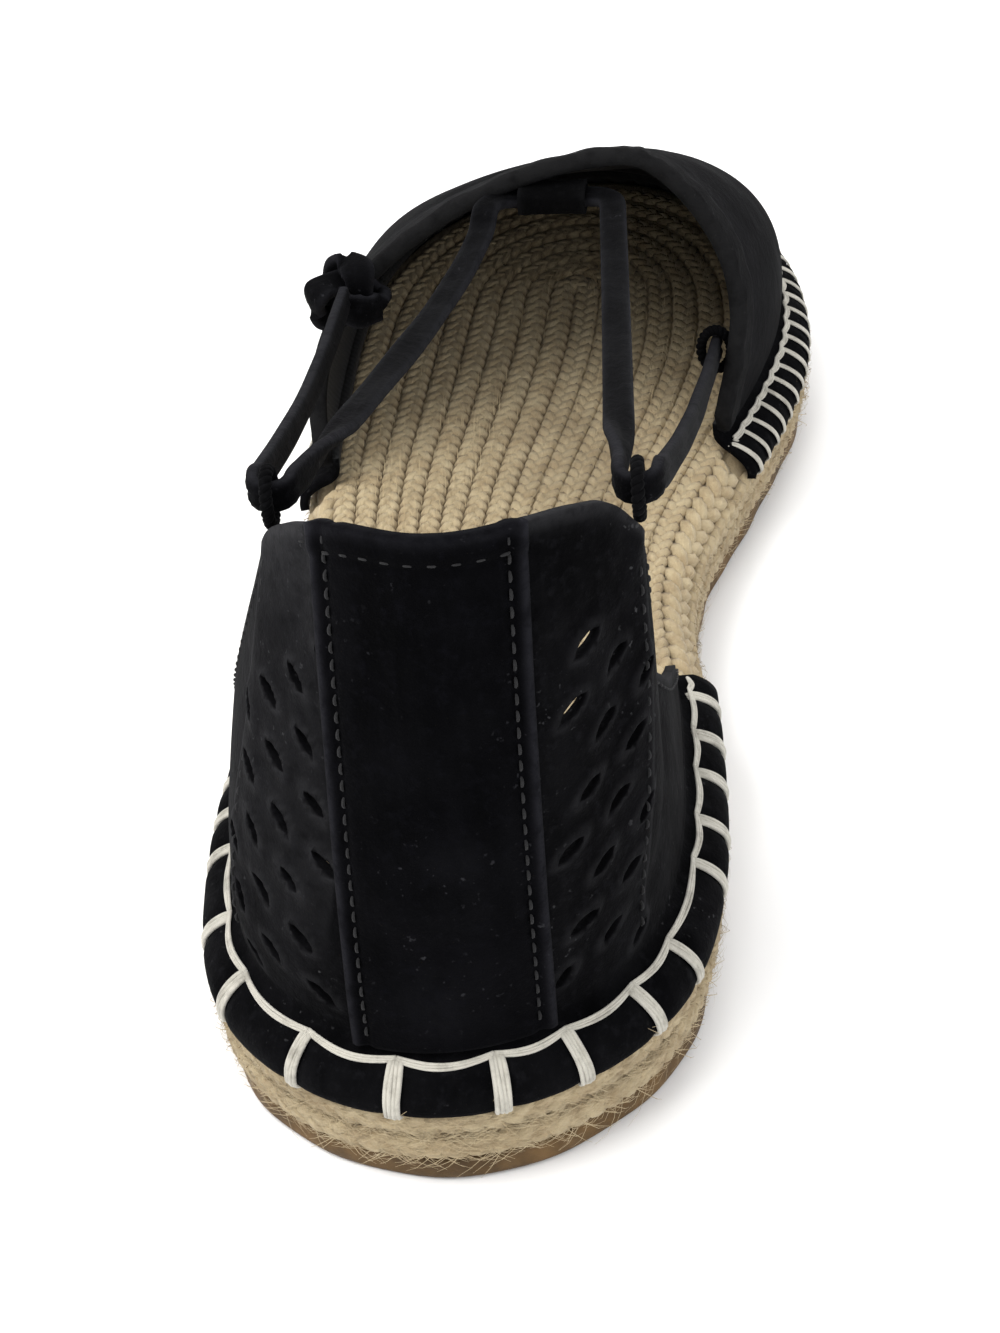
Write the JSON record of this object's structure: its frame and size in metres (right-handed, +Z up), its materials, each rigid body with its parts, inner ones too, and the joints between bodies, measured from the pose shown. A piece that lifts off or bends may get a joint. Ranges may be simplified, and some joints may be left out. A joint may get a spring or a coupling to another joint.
{
  "type": "espadrille",
  "caption": "Left lace-up espadrille flat in black suede: closed toe, open waist, tall slotted heel, jute sole, thin rubber outsole.",
  "frame": {"origin": "on the floor under the middle of the outsole's length, where the heel and waist lie flat", "axes": "+Y to the toe, +X to the shoe's inner side, +Z up"},
  "size_m": [0.09, 0.263, 0.1045],
  "materials": {
    "outsole_rubber": "matt crepe rubber, amber brown",
    "jute_rope": "plaited jute, tan",
    "vamp_suede": "black suede",
    "quarter_suede": "black suede",
    "stay_suede": "black suede",
    "tab_suede": "black suede",
    "medial_loop_cord": "black cord",
    "lateral_loop_cord": "black cord",
    "vamp_loop_cord": "black cord",
    "lace_suede": "folded suede lace, dark grey",
    "knot_suede": "folded suede lace, dark grey"
  },
  "bodies": {
    "root": {"outsole": "outsole_rubber", "jute_sole": "jute_rope", "vamp": "vamp_suede", "quarter": "quarter_suede", "back_stay": "stay_suede", "throat_tab": "tab_suede", "heel_loop_medial": "medial_loop_cord", "heel_loop_lateral": "lateral_loop_cord", "vamp_loop_medial": "vamp_loop_cord", "lace": "lace_suede", "lace_knot": "knot_suede"}
  },
  "joints": []
}
